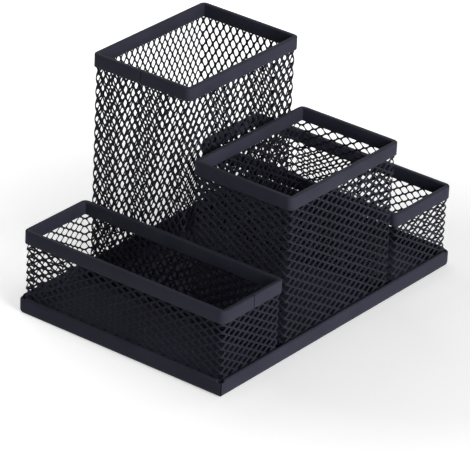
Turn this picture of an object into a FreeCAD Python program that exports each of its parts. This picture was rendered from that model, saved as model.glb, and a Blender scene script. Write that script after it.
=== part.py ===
import FreeCAD, Part
import math
import os

# Desk organiser of expanded steel mesh: two long low trays with a middle bin and a tall pen cup
# between them, four open bins standing side by side on one folded base pan.
# Millimetres. +X runs along the organiser, its front is towards -Y and +Z is up.
# The origin is on the desk, under the middle of the base.

# Layout, measured over the rims
ORGANISER_LENGTH = 150.0
ORGANISER_DEPTH = 101.3
TRAY_WIDTH = 38.0
MIDDLE_BIN_DEPTH = 49.0
COLUMN_GAP = 1.75  # between a tray's rim and the rims of the middle column
ROW_GAP = 2.8  # between the middle bin's rim and the pen cup's rim

# Heights of the rims above the desk
TRAY_HEIGHT = 36.5
MIDDLE_BIN_HEIGHT = 70.3
PEN_CUP_HEIGHT = 100.0

# Expanded mesh: diamonds, LONG_WAY by SHORT_WAY from knot to knot
LONG_WAY = 7.0
SHORT_WAY = 4.1
STRAND_WIDTH = 0.8
MESH_THICKNESS = 0.9
FOOT_MARGIN = 2.0  # uncut margin along the foot of each panel
FOLD_MARGIN = 0.4  # least width of the uncut margin along a fold

# Rims: a steel strip folded over the top of the mesh, its two ends butted at one seam
RIM_SHEET = 0.6
RIM_DROP = 5.6
RIM_EDGE_BEVEL = 0.5
RIM_CORNER_RADIUS = 2.5
RIM_SEAM = 0.4

# Base pan: one sheet with its four sides folded up, and each side hemmed inwards to grip the mesh
BASE_SHEET = 0.9
FLANGE_HEIGHT = 7.0
FLANGE_BEND_BEVEL = 0.8
BASE_CORNER_RADIUS = 3.0
BASE_SEAM_RADIUS = 1.0  # the front left corner, where the first and last sides meet
BASE_SEAM = 0.3
HEM_DROP = 4.8
HEM_FOLD_FLAT = 0.05  # half the width of the flat left on top of the hem's fold

RIM_WIDTH = 2 * RIM_SHEET + MESH_THICKNESS
HEM_WIDTH = 2 * BASE_SHEET
HEM_FOLD_RADIUS = BASE_SHEET - HEM_FOLD_FLAT
FLANGE_OVERHANG = HEM_WIDTH - RIM_SHEET  # how far the flange stands outside the rims
OVERSHOOT = 1.0  # how far a cutting tool runs past what it cuts
TINY = 1e-6

SIDES = ("front", "right", "back", "left")  # in order round a bin, anticlockwise from above
UP = FreeCAD.Vector(0, 0, 1)


def bin_layout():
    """Each bin's name, rim outline (x0, y0, x1, y1), rim height, mesh lie and rim seam side.

    The mesh lies with its long way level, except on the pen cup, where it stands upright."""
    x_out = ORGANISER_LENGTH / 2
    x_tray = x_out - TRAY_WIDTH
    x_column = x_tray - COLUMN_GAP
    y_out = ORGANISER_DEPTH / 2
    y_middle = MIDDLE_BIN_DEPTH - y_out
    y_cup = y_middle + ROW_GAP
    return (
        ("left_tray", (-x_out, -y_out, -x_tray, y_out), TRAY_HEIGHT, "level", "front"),
        ("middle_bin", (-x_column, -y_out, x_column, y_middle), MIDDLE_BIN_HEIGHT, "level", "back"),
        ("pen_cup", (-x_column, y_cup, x_column, y_out), PEN_CUP_HEIGHT, "upright", "left"),
        ("right_tray", (x_tray, -y_out, x_out, y_out), TRAY_HEIGHT, "level", "back"),
    )


def inset(outline, distance):
    x0, y0, x1, y1 = outline
    return (x0 + distance, y0 + distance, x1 - distance, y1 - distance)


def corners_of(outline):
    """The corner that each side starts from, in the order of SIDES."""
    x0, y0, x1, y1 = outline
    return ((x0, y0), (x1, y0), (x1, y1), (x0, y1))


def side_length(outline, side):
    x0, y0, x1, y1 = outline
    return x1 - x0 if side in ("front", "back") else y1 - y0


def on_side(shape, outline, side, z=0.0):
    """Puts a shape made in a side's own axes (X along it, Y inwards, Z up) in its place."""
    turn = SIDES.index(side)
    x, y = corners_of(outline)[turn]
    place = FreeCAD.Placement(FreeCAD.Vector(x, y, z), FreeCAD.Rotation(UP, 90 * turn))
    return shape.transformed(place.toMatrix())


def extruded(points, direction):
    """Solid that the polygon through these points sweeps out."""
    corners = [FreeCAD.Vector(*p) for p in points]
    return Part.Face(Part.makePolygon(corners + corners[:1])).extrude(direction)


def block(x0, x1, y0, y1, z0, z1):
    return Part.makeBox(x1 - x0, y1 - y0, z1 - z0, FreeCAD.Vector(x0, y0, z0))


def rounded_block(outline, radii, z0, z1):
    """Upright block whose corners are rounded, in the order of corners_of, where a radius is
    above zero."""
    x0, y0, x1, y1 = outline
    solid = block(x0, x1, y0, y1, z0, z1)
    for (x, y), radius in zip(corners_of(outline), radii):
        if radius > TINY:
            middle = FreeCAD.Vector(x, y, (z0 + z1) / 2)
            edge = min(solid.Edges, key=lambda e: (e.CenterOfMass - middle).Length)
            solid = solid.makeFillet(radius, [edge])
    return solid


def half_panel(length, height, round_start, half, lie):
    """Half the thickness of one flat mesh panel, with all the strands that lean one way.

    The outer half's strands rise along X and the inner half's fall. The ends are mitred to meet
    the next panels at the folds, and one end of each half keeps a margin that ties its strands
    together. round_start is the distance round the bin at which the panel starts, so the
    pattern runs on past each fold."""
    near = 0.0 if half == "outer" else MESH_THICKNESS / 2
    far = near + MESH_THICKNESS / 2
    lean = 1 if half == "outer" else -1
    sheet = extruded(
        ((near, near, 0), (length - near, near, 0), (length - far, far, 0), (far, far, 0)),
        UP * height,
    )

    run, rise = (LONG_WAY, SHORT_WAY) if lie == "level" else (SHORT_WAY, LONG_WAY)
    strand = STRAND_WIDTH * math.hypot(run, rise) / rise  # a strand's width along X
    gap = run - strand
    top = height + OVERSHOOT
    drift = (top - FOOT_MARGIN) * run / rise  # how far a strand moves along X on its way up
    margin = far + FOLD_MARGIN
    left, right = (margin, length + OVERSHOOT) if lean > 0 else (-OVERSHOOT, length - margin)
    back, front = near - OVERSHOOT, far + OVERSHOOT
    window = block(left, right, back, front, 0, top)
    cuts = []
    first = math.floor((round_start - drift) / run)
    last = math.ceil((round_start + length + drift) / run)
    for k in range(first, last):
        foot = k * run - round_start + strand / 2
        head = foot + lean * drift
        if max(foot, head) + gap > left and min(foot, head) < right:
            opening = ((foot, FOOT_MARGIN), (foot + gap, FOOT_MARGIN), (head + gap, top), (head, top))
            slot = extruded([(x, back, z) for x, z in opening], FreeCAD.Vector(0, front - back, 0))
            cuts.append(slot.common(window))

    # inside the rim the sheet is notched, clear of the rim's rounded corners
    notch = RIM_CORNER_RADIUS - RIM_SHEET
    lip = height - RIM_DROP + RIM_SHEET
    for x0, x1 in ((-OVERSHOOT, notch), (length - notch, length + OVERSHOOT)):
        cuts.append(block(x0, x1, back, front, lip, top))
    sheet = sheet.cut([c for c in cuts if c.Volume > TINY])
    # the notches cut a few short ends of strand loose, and those are scrap
    return max(sheet.Solids, key=lambda s: s.Volume)


def mesh_panels(name, outline, height, lie):
    """The four flat panels of a bin's mesh, each of two half panels face to face."""
    mesh = inset(outline, RIM_SHEET)
    panel_height = height - RIM_SHEET - BASE_SHEET
    panels = {}
    round_start = 0.0
    for side in SIDES:
        length = side_length(mesh, side)
        panels[f"{name}_mesh_{side}"] = [
            on_side(half_panel(length, panel_height, round_start, half, lie), mesh, side, BASE_SHEET)
            for half in ("outer", "inner")
        ]
        round_start += length
    return panels


def rim(outline, height, seam_side):
    """Channel folded over the mesh's top edge, rounded at its outer corners and mitred inside."""
    foot = height - RIM_DROP
    outer_radii = [RIM_CORNER_RADIUS] * 4
    slot_radii = [RIM_CORNER_RADIUS - RIM_SHEET] * 4
    sharp = [0] * 4
    well = rounded_block(inset(outline, RIM_WIDTH), sharp, foot - OVERSHOOT, height + OVERSHOOT)
    band = rounded_block(outline, outer_radii, foot, height).cut(well)
    band = band.makeChamfer(RIM_EDGE_BEVEL, [e for e in band.Edges if e.BoundBox.ZMin > height - TINY])

    slot = rounded_block(inset(outline, RIM_SHEET), slot_radii, foot - OVERSHOOT, height - RIM_SHEET)
    slot_core = inset(outline, RIM_SHEET + MESH_THICKNESS)
    slot = slot.cut(rounded_block(slot_core, sharp, foot - 2 * OVERSHOOT, height))
    middle = side_length(outline, seam_side) / 2
    start, end = middle - RIM_SEAM / 2, middle + RIM_SEAM / 2
    seam = block(start, end, -OVERSHOOT, RIM_WIDTH + OVERSHOOT, foot - OVERSHOOT, height + OVERSHOOT)
    return band.cut([slot, on_side(seam, outline, seam_side)])


def base_pan():
    """Floor with its sides folded up, open at the seam corner, and a hem along each side."""
    x, y = ORGANISER_LENGTH / 2, ORGANISER_DEPTH / 2
    outline = inset((-x, -y, x, y), -FLANGE_OVERHANG)
    radii = (BASE_SEAM_RADIUS, BASE_CORNER_RADIUS, BASE_CORNER_RADIUS, BASE_CORNER_RADIUS)
    pan = rounded_block(outline, radii, 0, FLANGE_HEIGHT - HEM_FOLD_RADIUS)
    pan = pan.makeChamfer(FLANGE_BEND_BEVEL, [e for e in pan.Edges if e.BoundBox.ZMax < TINY])
    well_radii = [r - BASE_SHEET for r in radii]
    well = rounded_block(inset(outline, BASE_SHEET), well_radii, BASE_SHEET, FLANGE_HEIGHT)
    seam = block(-BASE_SEAM / 2, BASE_SEAM / 2, -OVERSHOOT, HEM_WIDTH, BASE_SHEET, FLANGE_HEIGHT)
    seam.rotate(FreeCAD.Vector(), UP, -45)
    seam.translate(FreeCAD.Vector(*corners_of(outline)[0]))
    pan = pan.cut([well, seam])

    # each hem stops short of the corners, so that no two hems touch
    stops = [max(radius, HEM_WIDTH + BASE_SEAM) for radius in radii]
    hems = []
    for i, side in enumerate(SIDES):
        start = stops[i]
        end = side_length(outline, side) - stops[(i + 1) % 4]
        hem = block(start, end, 0, HEM_WIDTH, FLANGE_HEIGHT - HEM_DROP, FLANGE_HEIGHT)
        top_edges = [e for e in hem.Edges if e.BoundBox.ZMin > FLANGE_HEIGHT - TINY]
        hem = hem.makeFillet(HEM_FOLD_RADIUS, [e for e in top_edges if e.BoundBox.YLength < TINY])
        hems.append(on_side(hem, outline, side))
    return pan.fuse(hems).removeSplitter()


def build():
    nodes = {"base_pan": [base_pan()]}
    for name, outline, height, lie, seam_side in bin_layout():
        nodes[f"{name}_rim"] = [rim(outline, height, seam_side)]
        nodes.update(mesh_panels(name, outline, height, lie))
    os.makedirs("parts", exist_ok=True)
    for node, shapes in nodes.items():
        solids = [s for shape in shapes for s in shape.Solids]
        shape = solids[0] if len(solids) == 1 else Part.makeCompound(solids)
        shape.exportStep(f"parts/{node}.step")


build()
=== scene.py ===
import math
from collections import namedtuple

import bmesh
import bpy
import numpy as np
from mathutils import Matrix, Vector


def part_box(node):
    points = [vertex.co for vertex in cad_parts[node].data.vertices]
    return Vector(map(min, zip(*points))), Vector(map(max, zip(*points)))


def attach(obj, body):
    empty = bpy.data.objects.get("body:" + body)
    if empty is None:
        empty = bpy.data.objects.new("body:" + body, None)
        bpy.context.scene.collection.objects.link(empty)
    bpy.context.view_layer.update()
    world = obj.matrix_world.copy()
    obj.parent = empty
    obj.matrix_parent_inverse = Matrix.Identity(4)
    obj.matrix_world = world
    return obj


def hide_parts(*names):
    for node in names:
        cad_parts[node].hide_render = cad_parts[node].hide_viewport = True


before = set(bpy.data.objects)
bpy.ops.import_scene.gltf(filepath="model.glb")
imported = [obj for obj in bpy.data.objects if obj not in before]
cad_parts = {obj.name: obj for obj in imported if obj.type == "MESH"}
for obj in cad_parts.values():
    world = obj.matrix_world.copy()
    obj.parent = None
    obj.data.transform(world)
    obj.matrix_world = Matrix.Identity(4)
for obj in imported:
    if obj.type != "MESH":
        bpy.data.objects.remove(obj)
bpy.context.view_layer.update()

# A desk organizer of expanded steel mesh: four open bins, each one strip of mesh bent round four
# corners with a folded strip over its top edge, standing on one folded and hemmed base pan.
# Metres, in the frame's own axes: +X along the organizer, its front towards -Y, +Z up.
# An outline's corners are numbered anticlockwise from its front left one, and each is followed by
# the side of the same number.

MM = 0.001
QUARTER = math.pi / 2
SIDES = ("front", "right", "back", "left")
CORNERS = len(SIDES)

# Expanded mesh, in the sheet's own axes: along the long way, along the short way, and outwards.
# Its strands have a width along the short way, and lean out at their lower edge and in at their
# upper one. A knot, where two strands meet, is twice as wide. An upright sheet stands with its
# long way up.
Expanded = namedtuple("Expanded", "long_way short_way strand lean upright")
FINE_MESH = Expanded(
    long_way=6.0 * MM, short_way=3.5 * MM, strand=0.43 * MM, lean=0.33 * MM, upright=False
)
SHEETS = {
    "left_tray": FINE_MESH,
    "middle_bin": FINE_MESH._replace(long_way=6.3 * MM, short_way=3.75 * MM),
    "pen_cup": FINE_MESH._replace(strand=0.50 * MM, lean=0.06 * MM, upright=True),
    "right_tray": FINE_MESH,
}
STRAND_THICKNESS = 0.46 * MM
KNOT_LENGTH = 0.9 * MM  # along the long way, tip to tip
KNOT_FLAT = 0.1 * MM  # length of its upper and lower edges
FOLD_RADIUS = 1.6 * MM  # outside the mesh
MARGIN = 0.9 * MM  # uncut strip along the foot
MESH_SMOOTHING = 1  # subdivisions
MESH_SHARP = math.radians(70)  # shading stays sharp where the skin turns by more

# Rims
RIM_SHEET = 0.6 * MM
RIM_CORNER_RADIUS = 2.5 * MM
RIM_FOLD_RADIUS = 0.55 * MM
RIM_LIP_RADIUS = 0.16 * MM
RIM_SEAM = 0.4 * MM
RIM_SEAM_CLOSING = 0.9  # share of its width that the seam loses from outside to inside
RIM_SEAMS = {"left_tray": "front", "middle_bin": "back", "pen_cup": "left", "right_tray": "back"}

# Base pan
BASE_SHEET = 0.9 * MM
BASE_CORNER_RADIUS = 3.0 * MM
BASE_SEAM_CORNER = 0  # the corner whose sides don't meet
BASE_SEAM_RADIUS = 1.0 * MM
BASE_SEAM = 0.45 * MM
BASE_SEAM_EDGE = 50  # half of the seam's width, over the width in which a side is cut down
BASE_BEND_RADIUS = 1.6 * MM
BASE_INNER_BEND = 0.7 * MM
HEM_FOOT = 2.2 * MM  # height of the hem's free edge
HEM_DIP = 0.85 * MM  # how much lower the flange ends where it has no hem
HEM_STOP = 2.1 * MM  # least distance of a hem's end from a corner
HEM_RAMP = 0.9 * MM  # length in which a hem reaches its full width
FLOOR_RING = 6.0 * MM  # how far in from the flange the floor's flat middle begins
LEAST_RADIUS = 0.12 * MM
HEM_END = LEAST_RADIUS / 4  # thickness that the hem keeps where it has ended
CUT_RISE = 1e-7  # from point to point where a side is cut down, so that none of them coincide
WELD = 0.00002 * MM  # points nearer than this are made one

# Rims and base pan: how finely they are drawn
SHEET_SHARP = math.radians(35)
STRAIGHT_STEP = 12.0 * MM  # about the distance between stations on a straight
CORNER_STEPS = 8  # in a quarter turn, as are the next three
FOLD_STEPS = 6
INNER_BEND_STEPS = 4
LIP_STEPS = 3

# Powder coats: linear colours, noise scales per metre, and ranges of the noise's values
# The mesh's tones are darker than the sheet's, though mesh, rims and base share one coat: painted
# shade on the mesh.
MESH_SHADED_TONES = ((0.012, 0.012, 0.018), (0.017, 0.017, 0.026))
SHEET_TONES = ((0.023, 0.023, 0.035), (0.030, 0.030, 0.045))
DUST_TONE = (0.16, 0.16, 0.18)
COAT_SPECULAR = 0.05
COAT_TINT = (0.80, 0.80, 1.0)
CLOUD_SCALE, CLOUD_DETAIL = 60.0, 3.0
CLOUD_TONE_RANGE = (0.35, 0.65)
CLOUD_GLOSS_RANGE = (0.3, 0.7)
CLOUD_GLOSS = 0.06  # change in roughness, up and down
SPECK_SCALE, SPECK_DETAIL = 2600.0, 1.0
SPECK_RANGE = (0.72, 0.80)
PEEL_DETAIL = 2.0
PEEL_STRENGTH = 0.35
PEEL_DEPTH = 0.05 * MM

# Floor, world and lights
WHITE = (1.0, 1.0, 1.0)
FLOOR_TONE = (0.80, 0.80, 0.80)
FLOOR_ROUGHNESS = 0.6
FLOOR_REACH = 4.0
# The floor's glow is weakest round its middle, just in front of the object: painted shade there.
FLOOR_SHADE_MIDDLE = (0.03, -0.07, 0.0)  # of the floor's darkest part
FLOOR_FADE = (0.08, 0.24)  # distances from its middle between which the floor whitens
FLOOR_GLOW = (0.34, 0.80)  # strengths at those distances
WORLD_STRENGTH = (0.15, 1.0)  # as a light, and where it is seen
LIGHTS_AIM = (0.0, 0.0, 0.04)
LIGHTS = (  # name, place, size and power
    ("key", (-0.32, -1.42, 0.5), 0.8, 28.0),
    ("fill", (1.3, -0.3, 0.6), 0.8, 1.5),
    ("top", (0.2, 0.8, 1.1), 0.6, 2.2),
)

# The camera, in the frame's axes
PHOTO_PIXELS = 470
FOCAL_PIXELS = 3867.8
SENSOR = 36.0
CAMERA_AT = Vector((-1109.2, -831.8, 732.7)) * MM
CAMERA_YAW = math.radians(36.944)  # heading, from +X towards +Y
CAMERA_PITCH = math.radians(27.082)  # below the horizon
CAMERA_ROLL = math.radians(2.776)
CAMERA_CLIP = (0.05, 20.0)


# ---------------------------------------------------------------- outlines and pieces


def plan_of(low, high):
    """A box's outline seen from above."""
    return (low[0], low[1], high[0], high[1])


def inset(outline, distance):
    x0, y0, x1, y1 = outline
    return (x0 + distance, y0 + distance, x1 - distance, y1 - distance)


def side_length(outline, side):
    x0, y0, x1, y1 = outline
    return x1 - x0 if side % 2 == 0 else y1 - y0


def corner_point(outline, corner):
    x0, y0, x1, y1 = outline
    return ((x0, y0), (x1, y0), (x1, y1), (x0, y1))[corner]


def arc_centre(outline, corner, radius):
    """Centre of the arc that rounds a corner."""
    x, y = corner_point(outline, corner)
    at_left, at_front = corner in (0, 3), corner in (0, 1)
    return (x + (radius if at_left else -radius), y + (radius if at_front else -radius))


def next_corner(corner):
    return (corner + 1) % CORNERS


def make_object(name, vertices, faces, material):
    mesh = bpy.data.meshes.new(name)
    mesh.from_pydata([tuple(v) for v in vertices], [], [tuple(f) for f in faces])
    mesh.validate()
    piece = bpy.data.objects.new(name, mesh)
    bpy.context.scene.collection.objects.link(piece)
    mesh.materials.append(material)
    return piece


def shade_smooth(piece, angle):
    """Smooth shading, kept sharp at edges that turn by more than the angle."""
    mesh = piece.data
    mesh.polygons.foreach_set("use_smooth", [True] * len(mesh.polygons))
    mesh.set_sharp_from_angle(angle=angle)


def weld(piece):
    """Joins the points that fall on one place, and drops the faces that vanish with them."""
    grid = bmesh.new()
    grid.from_mesh(piece.data)
    bmesh.ops.remove_doubles(grid, verts=grid.verts, dist=WELD)
    grid.to_mesh(piece.data)
    grid.free()


# ---------------------------------------------------------------- expanded mesh

KNOT = np.array(  # a knot's six corners: long way, and shares of a strand's width and lean
    [
        (-KNOT_LENGTH / 2, 0.0, 0.0),
        (-KNOT_FLAT / 2, -1.0, 1.0),
        (KNOT_FLAT / 2, -1.0, 1.0),
        (KNOT_LENGTH / 2, 0.0, 0.0),
        (KNOT_FLAT / 2, 1.0, -1.0),
        (-KNOT_FLAT / 2, 1.0, -1.0),
    ]
)
LEFT, LOW_LEFT, LOW_RIGHT, RIGHT, HIGH_RIGHT, HIGH_LEFT = range(len(KNOT))


def knot_lattice(sheet, columns, rows):
    """Corners and front faces of a flat expanded sheet.

    Knots stand in rows along the long way, and every second row is shifted by half a pitch.
    In an upright sheet the last row joins the first; otherwise the ends of the rows join."""
    row, column = np.divmod(np.arange(rows * columns), columns)
    shift = row % 2
    long_at, short_at = (column + shift / 2) * sheet.long_way, row * sheet.short_way / 2
    centres = np.stack([long_at, short_at, np.zeros_like(long_at)], 1)
    knots = KNOT * (1, sheet.strand, sheet.lean)
    corners = (centres[:, None, :] + knots[None, :, :]).reshape(-1, 3)

    def first_corner(c, r):
        return ((r % rows) * columns + c % columns) * len(KNOT)

    base = first_corner(column, row)
    faces = [
        np.stack([base + LEFT, base + LOW_LEFT, base + LOW_RIGHT, base + RIGHT], 1),
        np.stack([base + LEFT, base + RIGHT, base + HIGH_RIGHT, base + HIGH_LEFT], 1),
    ]
    for rises_right in (True, False):
        other = column + (shift if rises_right else shift - 1)
        there = (other >= 0) & (other < columns) if sheet.upright else row + 1 < rows
        here, up = base[there], first_corner(other, row + 1)[there]
        if rises_right:
            strand = [here + RIGHT, up + LOW_LEFT, up + LEFT, here + HIGH_RIGHT]
        else:
            strand = [here + LEFT, here + HIGH_LEFT, up + RIGHT, up + LOW_RIGHT]
        faces.append(np.stack(strand, 1))
    return corners, np.concatenate(faces)


def foot_margin(sheet, corners, columns, rows, foot):
    """Uncut strip from the lattice's lower edge down to the foot: its new corners and faces."""
    first = len(corners)
    if sheet.upright:  # only the rows that aren't shifted come down to the edge
        knots = np.arange(0, rows, 2)[:, None] * columns * len(KNOT)
        edge = (knots + [LOW_LEFT, LEFT, HIGH_LEFT]).reshape(-1)
    else:
        edge = (np.arange(columns)[:, None] * len(KNOT) + [LOW_LEFT, LOW_RIGHT]).reshape(-1)
    new = corners[edge].copy()
    new[:, 0 if sheet.upright else 1] = foot
    below = first + np.arange(len(edge))
    following = np.roll(np.arange(len(edge)), -1)
    faces = np.stack([below, below[following], edge[following], edge], 1)
    return new, faces[:, ::-1] if sheet.upright else faces


def thickened(corners, faces):
    """Front and back skins joined by walls along every open edge."""
    count, sides = len(corners), faces.shape[1]
    front = corners + (0, 0, STRAND_THICKNESS / 2)
    back = corners - (0, 0, STRAND_THICKNESS / 2)
    edges = np.concatenate([faces[:, [i, (i + 1) % sides]] for i in range(sides)])
    keys = np.sort(edges, 1)
    _, first, uses = np.unique(keys, axis=0, return_index=True, return_counts=True)
    start, end = edges[first[uses == 1]].T
    walls = np.stack([end, start, start + count, end + count], 1)
    return np.concatenate([front, back]), np.concatenate([faces, faces[:, ::-1] + count, walls])


def smoothed(name, vertices, faces):
    """The mesh after its subdivisions, as arrays."""
    sides = faces.shape[1]
    mesh = bpy.data.meshes.new(name)
    mesh.vertices.add(len(vertices))
    mesh.vertices.foreach_set("co", vertices.astype(np.float32).ravel())
    mesh.loops.add(faces.size)
    mesh.loops.foreach_set("vertex_index", faces.astype(np.int32).ravel())
    mesh.polygons.add(len(faces))
    mesh.polygons.foreach_set("loop_start", np.arange(0, faces.size, sides, dtype=np.int32))
    mesh.update(calc_edges=True)
    cage = bpy.data.objects.new(name, mesh)
    bpy.context.scene.collection.objects.link(cage)
    subdivision = cage.modifiers.new("subdivision", "SUBSURF")
    subdivision.levels = MESH_SMOOTHING
    fine = cage.evaluated_get(bpy.context.evaluated_depsgraph_get()).to_mesh()
    places = np.zeros(len(fine.vertices) * 3, np.float32)
    fine.vertices.foreach_get("co", places)
    loops = np.zeros(len(fine.loops), np.int32)
    fine.loops.foreach_get("vertex_index", loops)
    cage.to_mesh_clear()
    bpy.data.objects.remove(cage)
    bpy.data.meshes.remove(mesh)
    return places.reshape(-1, 3).astype(float), loops.reshape(-1, sides)


def length_round(outline, radius):
    """Length round a rounded outline, and of its two straights, front and right."""
    straights = [side_length(outline, side) - 2 * radius for side in range(2)]
    return CORNERS * QUARTER * radius + 2 * sum(straights), straights


def wrapped(around, out, outline, radius):
    """X and Y at a distance round a rounded outline, measured anticlockwise from the middle of its
    front left corner, and at a distance outwards from it."""
    arc = QUARTER * radius
    total, straights = length_round(outline, radius)
    x, y = np.zeros_like(around), np.zeros_like(around)
    start = -arc / 2
    for corner in range(CORNERS):
        cx, cy = arc_centre(outline, corner, radius)
        straight = straights[corner % 2]
        facing = math.pi + corner * QUARTER
        ahead = facing + QUARTER
        along = (around - start) % total
        on_arc = along < arc
        on_straight = (along >= arc) & (along < arc + straight)
        angle, run = facing + along / radius, along - arc
        x = np.where(on_arc, cx + (radius + out) * np.cos(angle), x)
        y = np.where(on_arc, cy + (radius + out) * np.sin(angle), y)
        straight_x = cx + (radius + out) * math.cos(ahead) - run * math.sin(ahead)
        straight_y = cy + (radius + out) * math.sin(ahead) + run * math.cos(ahead)
        x = np.where(on_straight, straight_x, x)
        y = np.where(on_straight, straight_y, y)
        start += arc + straight
    return x, y


def mesh_wrap(name, material):
    """A bin's mesh: one strip of expanded metal folded round its four corners."""
    lows, highs = zip(*(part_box(f"{name}_mesh_{side}") for side in SIDES))
    low = Vector(min(v[i] for v in lows) for i in range(3))
    high = Vector(max(v[i] for v in highs) for i in range(3))
    front_low, front_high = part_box(f"{name}_mesh_front")
    thickness = front_high.y - front_low.y
    outline = inset(plan_of(low, high), thickness / 2)
    radius = FOLD_RADIUS - thickness / 2
    round_length, _ = length_round(outline, radius)
    height = high.z - low.z
    sheet = SHEETS[name]
    if sheet.upright:
        rows = 2 * round(round_length / sheet.short_way)
        columns = round((height - MARGIN - KNOT_LENGTH) / sheet.long_way)
        sheet = sheet._replace(short_way=2 * round_length / rows)
        lift = low.z + MARGIN + KNOT_LENGTH / 2
    else:
        columns = round(round_length / sheet.long_way)
        rows = int(2 * (height - MARGIN - 2 * sheet.strand) / sheet.short_way) + 1
        sheet = sheet._replace(long_way=round_length / columns)
        lift = low.z + MARGIN + sheet.strand
    corners, faces = knot_lattice(sheet, columns, rows)
    strip, strip_faces = foot_margin(sheet, corners, columns, rows, low.z - lift)
    corners = np.concatenate([corners, strip])
    faces = np.concatenate([faces, strip_faces])
    vertices, faces = thickened(corners, faces)

    # on a cylinder of the same length round, the sheet closes and can be subdivided as one piece
    cylinder = round_length / (2 * math.pi)
    around, up = vertices[:, :2].T
    if sheet.upright:
        around, up, faces = up, around, faces[:, ::-1]
    angle = around / cylinder
    reach = cylinder + vertices[:, 2]
    tube = np.stack([reach * np.cos(angle), reach * np.sin(angle), up], 1)
    tube, faces = smoothed(name, tube, faces)
    around = np.arctan2(tube[:, 1], tube[:, 0]) * cylinder
    out = np.hypot(tube[:, 0], tube[:, 1]) - cylinder
    x, y = wrapped(around, out, outline, radius)
    z = np.maximum(tube[:, 2] + lift, low.z)
    piece = make_object(f"{name}_mesh_wrap", np.stack([x, y, z], 1), faces, material)
    shade_smooth(piece, MESH_SHARP)
    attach(piece, "root")
    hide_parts(*(f"{name}_mesh_{side}" for side in SIDES))


# ---------------------------------------------------------------- folded sheet


class Station:
    """A place round a rounded outline: on a corner's arc, or on the straight that follows it."""

    def __init__(self, corner, turn=None, along=None):
        self.corner, self.turn, self.along = corner, turn, along

    def at(self, outline, radii, distance):
        """X and Y there on the outline moved inwards by a distance."""
        outline = inset(outline, distance)
        near = max(radii[self.corner] - distance, LEAST_RADIUS)
        if self.turn is not None:
            cx, cy = arc_centre(outline, self.corner, near)
            angle = math.pi + self.corner * QUARTER + self.turn * QUARTER
            return (cx + near * math.cos(angle), cy + near * math.sin(angle))
        # a straight runs between the ends of its two arcs, and keeps its place where it can
        following = next_corner(self.corner)
        (ax, ay), (bx, by) = corner_point(outline, self.corner), corner_point(outline, following)
        length = side_length(outline, self.corner)
        far = length - max(radii[following] - distance, LEAST_RADIUS)
        run = min(max(self.along - distance, near), far)
        return (ax + (bx - ax) * run / length, ay + (by - ay) * run / length)


def stations_round(outline, radii, extra):
    """Stations all the way round, with extra ones (corner, distance along the side after it)."""
    found = []
    for corner in range(CORNERS):
        near, far = radii[corner], side_length(outline, corner) - radii[next_corner(corner)]
        found += [Station(corner, turn=i / CORNER_STEPS) for i in range(CORNER_STEPS + 1)]
        steps = max(2, round((far - near) / STRAIGHT_STEP))
        places = [near + (far - near) * i / steps for i in range(1, steps)]
        places += [along for c, along in extra if c == corner]
        found += [Station(corner, along=along) for along in sorted(places)]
    return found


def arc_points(centre, radius, start, end, fineness):
    """Points of an arc in a section. Angles are in quarter turns, drawn in fineness steps each."""
    cx, cz = centre
    steps = fineness * abs(end - start)
    angles = [QUARTER * (start + (end - start) * i / steps) for i in range(steps + 1)]
    return [(cx + radius * math.cos(a), cz + radius * math.sin(a)) for a in angles]


def swept(name, rings, material):
    """Solid skin through rings of points, capped at its two ends."""
    size = len(rings[0])
    vertices = [p for ring in rings for p in ring]
    faces = []
    for a in range(0, len(vertices) - size, size):
        b = a + size
        faces += [(a + j, b + j, b + (j + 1) % size, a + (j + 1) % size) for j in range(size)]
    faces.append(tuple(range(size)))
    faces.append(tuple(reversed(range(len(vertices) - size, len(vertices)))))
    return make_object(name, vertices, faces, material)


def rim_section(width, drop):
    """Section of the folded strip: inset from the outside, and height above its foot."""
    fold, lip, inner = RIM_FOLD_RADIUS, RIM_LIP_RADIUS, RIM_SHEET
    section = arc_points((lip, lip), lip, 3, 2, LIP_STEPS)
    section += arc_points((fold, drop - fold), fold, 2, 1, FOLD_STEPS)
    section += arc_points((width - fold, drop - fold), fold, 1, 0, FOLD_STEPS)
    section += arc_points((width - lip, lip), lip, 0, -1, LIP_STEPS)
    section += arc_points((width - inner + lip, lip), lip, -1, -2, LIP_STEPS)
    section += [(width - inner, drop - inner), (inner, drop - inner)]
    section += arc_points((inner - lip, lip), lip, 0, -1, LIP_STEPS)
    return section


def rim_channel(name, material):
    """Strip folded over the mesh's top edge, its two ends butted at the seam."""
    low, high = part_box(f"{name}_rim")
    front_low, front_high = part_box(f"{name}_mesh_front")
    width = 2 * RIM_SHEET + front_high.y - front_low.y
    outline = plan_of(low, high)
    radii = [RIM_CORNER_RADIUS] * CORNERS
    side = SIDES.index(RIM_SEAMS[name])
    middle = side_length(outline, side) / 2
    end, start = middle - RIM_SEAM / 2, middle + RIM_SEAM / 2  # of the strip
    stations = [
        s for s in stations_round(outline, radii, ((side, end), (side, start)))
        if s.corner != side or s.turn is not None or not end < s.along < start
    ]
    first = next(i for i, s in enumerate(stations) if s.corner == side and s.along == start)
    stations = stations[first:] + stations[:first]

    section = rim_section(width, high.z - low.z)
    rings = [[(*s.at(outline, radii, d), low.z + z) for d, z in section] for s in stations]
    # the strip's two ends slant, so that the seam narrows inwards and lets little light through
    slant = RIM_SEAM_CLOSING * RIM_SEAM / 2 / width
    for ring, lip, inwards in ((0, start, -slant), (-1, end, slant)):
        rings[ring] = [
            (*Station(side, along=lip + inwards * d).at(outline, radii, d), low.z + z)
            for d, z in section
        ]
    piece = swept(f"{name}_rim_channel", rings, material)
    shade_smooth(piece, SHEET_SHARP)
    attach(piece, "root")
    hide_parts(f"{name}_rim")


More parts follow.
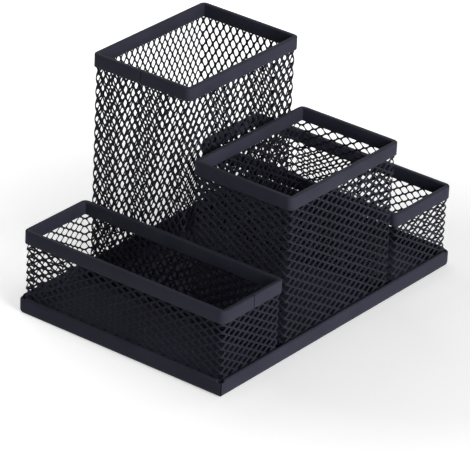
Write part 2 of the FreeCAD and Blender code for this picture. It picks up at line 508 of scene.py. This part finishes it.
def pan_section(height, hem, wall_top):
    """Section of the pan's side and the edge of its floor: inset from the outside, and height.

    hem is 1 where the side is hemmed. Where the seam is open, wall_top cuts the side down."""
    width = BASE_SHEET + HEM_END + hem * (BASE_SHEET - HEM_END)
    crest = height - (1 - hem) * HEM_DIP
    fold, bend, inner = width / 2, BASE_BEND_RADIUS, BASE_INNER_BEND
    section = [(FLOOR_RING, 0.0)]
    section += arc_points((bend, bend), bend, 3, 2, FOLD_STEPS)
    section += arc_points((fold, crest - fold), fold, 2, 0, FOLD_STEPS)
    section += [(width, HEM_FOOT), (BASE_SHEET, HEM_FOOT - LEAST_RADIUS)]
    section += arc_points(
        (BASE_SHEET + inner, BASE_SHEET + inner), inner, 2, 3, INNER_BEND_STEPS
    )
    section += [(FLOOR_RING, BASE_SHEET)]
    return [(d, min(z, wall_top + i * CUT_RISE)) for i, (d, z) in enumerate(section)]


def base_pan(material):
    """One sheet with its sides folded up and hemmed inwards, open at its front left corner."""
    low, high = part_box("base_pan")
    height = high.z - low.z
    outline = plan_of(low, high)
    radii = [BASE_CORNER_RADIUS] * CORNERS
    radii[BASE_SEAM_CORNER] = BASE_SEAM_RADIUS
    stops = [max(radius, HEM_STOP) for radius in radii]
    hems = [  # where each side's hem starts and ends
        (stops[side], side_length(outline, side) - stops[next_corner(side)])
        for side in range(CORNERS)
    ]
    stations = stations_round(outline, radii, [
        (side, along) for side, (start, end) in enumerate(hems)
        for along in (start, start + HEM_RAMP, end - HEM_RAMP, end)
    ])

    # the seam takes the place of the stations in the middle of its corner's arc
    seam = BASE_SEAM / 2 / (QUARTER * BASE_SEAM_RADIUS)
    beside = seam + seam / BASE_SEAM_EDGE
    cut = [Station(BASE_SEAM_CORNER, turn=0.5 + turn) for turn in (-beside, -seam, seam, beside)]
    opened = cut[1:-1]
    on_arc = [s for s in stations if s.corner == BASE_SEAM_CORNER and s.turn is not None]
    replaced = [s for s in on_arc if abs(s.turn - 0.5) <= beside]
    first = stations.index(replaced[0])
    stations[first:first + len(replaced)] = cut

    rings = []
    for s in stations:
        hem = 0.0
        if s.turn is None:
            start, end = hems[s.corner]
            hem = min(max(min(s.along - start, end - s.along) / HEM_RAMP, 0.0), 1.0)
        wall_top = BASE_SHEET + LEAST_RADIUS if s in opened else height
        section = pan_section(height, hem, wall_top)
        rings.append([(*s.at(outline, radii, d), low.z + z) for d, z in section])
    size = len(rings[0])
    vertices = [p for ring in rings for p in ring]
    starts = range(0, len(vertices), size)
    faces = []
    for a in starts:
        b = (a + size) % len(vertices)
        faces += [(a + j, b + j, b + j + 1, a + j + 1) for j in range(size - 1)]
    faces.append(tuple(reversed(starts)))
    faces.append(tuple(a + size - 1 for a in starts))
    piece = make_object("base_pan_sheet", vertices, faces, material)
    weld(piece)
    shade_smooth(piece, SHEET_SHARP)
    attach(piece, "root")
    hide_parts("base_pan")


# ---------------------------------------------------------------- materials


def opaque(tone):
    return (*tone, 1.0)


def mapped(nodes, links, value, span, result):
    """A value's span of numbers mapped to another, and held at its ends."""
    node = nodes.new("ShaderNodeMapRange")
    for label, number in zip(("From Min", "From Max", "To Min", "To Max"), (*span, *result)):
        node.inputs[label].default_value = number
    links.new(value, node.inputs["Value"])
    return node.outputs["Result"]


def powder_coat(name, tones, roughness, grain, dust):
    """Satin powder coat: fine orange peel, cloudy gloss and a few pale specks of dust."""
    material = bpy.data.materials.new(name)
    material.use_nodes = True
    nodes, links = material.node_tree.nodes, material.node_tree.links
    shader = nodes["Principled BSDF"]
    shader.inputs["Specular IOR Level"].default_value = COAT_SPECULAR
    shader.inputs["Specular Tint"].default_value = opaque(COAT_TINT)
    place = nodes.new("ShaderNodeTexCoord").outputs["Object"]

    def noise(scale, detail):
        node = nodes.new("ShaderNodeTexNoise")
        node.inputs["Scale"].default_value = scale
        node.inputs["Detail"].default_value = detail
        links.new(place, node.inputs["Vector"])
        return node.outputs["Fac"]

    clouds = noise(CLOUD_SCALE, CLOUD_DETAIL)
    specks = noise(SPECK_SCALE, SPECK_DETAIL)
    peel = noise(grain, PEEL_DETAIL)

    dark, light = tones
    tone = nodes.new("ShaderNodeMix")
    tone.data_type = "RGBA"
    tone.inputs["A"].default_value = opaque(dark)
    tone.inputs["B"].default_value = opaque(light)
    links.new(mapped(nodes, links, clouds, CLOUD_TONE_RANGE, (0.0, 1.0)), tone.inputs["Factor"])
    dusted = nodes.new("ShaderNodeMix")
    dusted.data_type = "RGBA"
    dusted.inputs["B"].default_value = opaque(DUST_TONE)
    links.new(tone.outputs["Result"], dusted.inputs["A"])
    links.new(mapped(nodes, links, specks, SPECK_RANGE, (0.0, dust)), dusted.inputs["Factor"])
    links.new(dusted.outputs["Result"], shader.inputs["Base Color"])

    gloss = (roughness - CLOUD_GLOSS, roughness + CLOUD_GLOSS)
    links.new(mapped(nodes, links, clouds, CLOUD_GLOSS_RANGE, gloss), shader.inputs["Roughness"])
    bump = nodes.new("ShaderNodeBump")
    bump.inputs["Strength"].default_value = PEEL_STRENGTH
    bump.inputs["Distance"].default_value = PEEL_DEPTH
    links.new(peel, bump.inputs["Height"])
    links.new(bump.outputs["Normal"], shader.inputs["Normal"])
    return material


# ---------------------------------------------------------------- stage


def background_rays(nodes, links):
    """1 where a ray sees the background itself: from the camera, in a gloss or through glass."""
    path = nodes.new("ShaderNodeLightPath")
    seen = path.outputs["Is Camera Ray"]
    for other in ("Is Glossy Ray", "Is Transmission Ray"):
        either = nodes.new("ShaderNodeMath")
        either.operation = "MAXIMUM"
        links.new(seen, either.inputs[0])
        links.new(path.outputs[other], either.inputs[1])
        seen = either.outputs[0]
    return seen


def make_floor():
    """Pale floor that keeps the object's soft shadow, glows less round the object's front as
    painted shade, and runs out to white further off.
    """
    material = bpy.data.materials.new("pale_floor")
    material.use_nodes = True
    nodes, links = material.node_tree.nodes, material.node_tree.links
    shader = nodes["Principled BSDF"]
    shader.inputs["Base Color"].default_value = opaque(FLOOR_TONE)
    shader.inputs["Roughness"].default_value = FLOOR_ROUGHNESS
    glow = nodes.new("ShaderNodeEmission")
    glow.inputs["Color"].default_value = opaque(WHITE)
    place = nodes.new("ShaderNodeTexCoord")
    away = nodes.new("ShaderNodeVectorMath")
    away.operation = "DISTANCE"
    away.inputs[1].default_value = FLOOR_SHADE_MIDDLE
    links.new(place.outputs["Object"], away.inputs[0])
    # the floor glows least near its middle: painted shade round the object's front, added to the
    # shadow its lamps cast
    whitening = mapped(nodes, links, away.outputs["Value"], FLOOR_FADE, FLOOR_GLOW)
    strength = nodes.new("ShaderNodeMath")
    strength.operation = "MULTIPLY"
    links.new(whitening, strength.inputs[0])
    links.new(background_rays(nodes, links), strength.inputs[1])
    links.new(strength.outputs[0], glow.inputs["Strength"])
    both = nodes.new("ShaderNodeAddShader")
    links.new(shader.outputs[0], both.inputs[0])
    links.new(glow.outputs[0], both.inputs[1])
    links.new(both.outputs[0], nodes["Material Output"].inputs["Surface"])
    square = (-FLOOR_REACH, -FLOOR_REACH, FLOOR_REACH, FLOOR_REACH)
    corners = [(*corner_point(square, corner), 0) for corner in range(CORNERS)]
    floor = make_object("studio_floor", corners, [range(CORNERS)], material)


def make_world():
    """White background, dimmer as a light than where it is seen."""
    world = bpy.data.worlds.new("studio")
    bpy.context.scene.world = world
    world.use_nodes = True
    nodes, links = world.node_tree.nodes, world.node_tree.links
    background = nodes["Background"]
    background.inputs["Color"].default_value = opaque(WHITE)
    seen = background_rays(nodes, links)
    links.new(mapped(nodes, links, seen, (0.0, 1.0), WORLD_STRENGTH), background.inputs["Strength"])


def soft_light(name, place, size, power):
    lamp = bpy.data.lights.new(name, "AREA")
    lamp.shape = "SQUARE"
    lamp.size = size
    lamp.energy = power
    light = bpy.data.objects.new(name, lamp)
    light.location = place
    ahead = Vector(LIGHTS_AIM) - Vector(place)
    light.rotation_euler = ahead.to_track_quat("-Z", "Y").to_euler()
    bpy.context.scene.collection.objects.link(light)


def make_camera():
    """The photo's camera."""
    cy, sy = math.cos(CAMERA_YAW), math.sin(CAMERA_YAW)
    cp, sp = math.cos(CAMERA_PITCH), math.sin(CAMERA_PITCH)
    ahead = Vector((cy * cp, sy * cp, -sp))
    level = Vector((sy, -cy, 0.0))
    upward = level.cross(ahead)
    cr, sr = math.cos(CAMERA_ROLL), math.sin(CAMERA_ROLL)
    right = cr * level + sr * upward
    up = cr * upward - sr * level
    data = bpy.data.cameras.new("camera")
    data.sensor_width = SENSOR
    data.lens = FOCAL_PIXELS * SENSOR / PHOTO_PIXELS
    data.clip_start, data.clip_end = CAMERA_CLIP
    camera = bpy.data.objects.new("camera", data)
    turn = Matrix((right, up, -ahead)).transposed().to_4x4()
    camera.matrix_world = Matrix.Translation(CAMERA_AT) @ turn
    bpy.context.scene.collection.objects.link(camera)
    bpy.context.scene.camera = camera


# the mesh's coat takes the darker tones, which are painted shade
mesh_coat = powder_coat("mesh_powder_coat", MESH_SHADED_TONES, roughness=0.46, grain=1500.0, dust=0.5)
rim_coat = powder_coat("rim_powder_coat", SHEET_TONES, roughness=0.48, grain=1100.0, dust=0.35)
base_coat = powder_coat("base_powder_coat", SHEET_TONES, roughness=0.48, grain=1000.0, dust=0.35)

for bin_name in SHEETS:
    mesh_wrap(bin_name, mesh_coat)
    rim_channel(bin_name, rim_coat)
base_pan(base_coat)

make_floor()
make_world()
for light in LIGHTS:
    soft_light(*light)
make_camera()
bpy.context.scene.view_settings.view_transform = "Standard"
